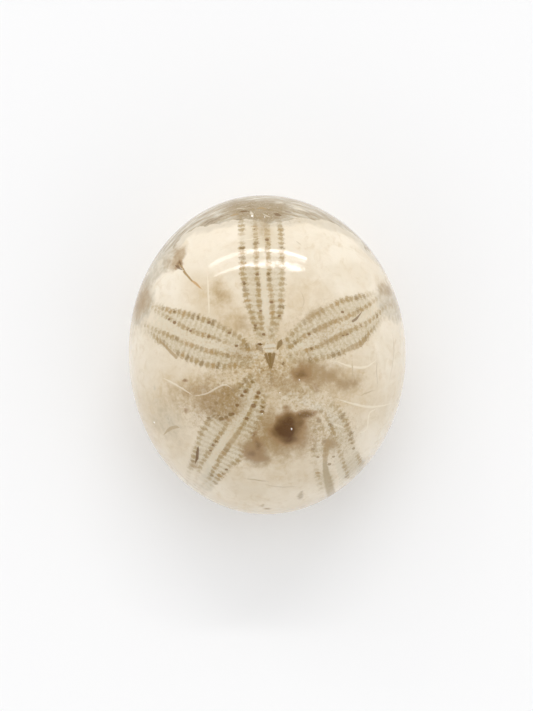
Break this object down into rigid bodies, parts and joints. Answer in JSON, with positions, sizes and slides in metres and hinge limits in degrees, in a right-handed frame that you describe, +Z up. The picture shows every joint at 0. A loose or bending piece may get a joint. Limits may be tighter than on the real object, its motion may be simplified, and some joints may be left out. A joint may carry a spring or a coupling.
{
  "type": "fossil sea urchin",
  "caption": "Oval, domed, polished calcite fossil of a sea urchin, with petals of pore rows spreading from the top and a flat face underneath to rest on.",
  "frame": {"origin": "on the resting face, under the middle of the outline", "axes": "+Z up through the apex, +Y towards the animal's front, along the length, +X to the right as seen from above"},
  "size_m": [0.0418, 0.048, 0.0275],
  "materials": {
    "polished_calcite": "polished cream calcite with tan pore rows, brown stains and a greyer, glassy rim"
  },
  "bodies": {
    "root": {"sea_urchin_fossil": "polished_calcite"}
  },
  "joints": []
}
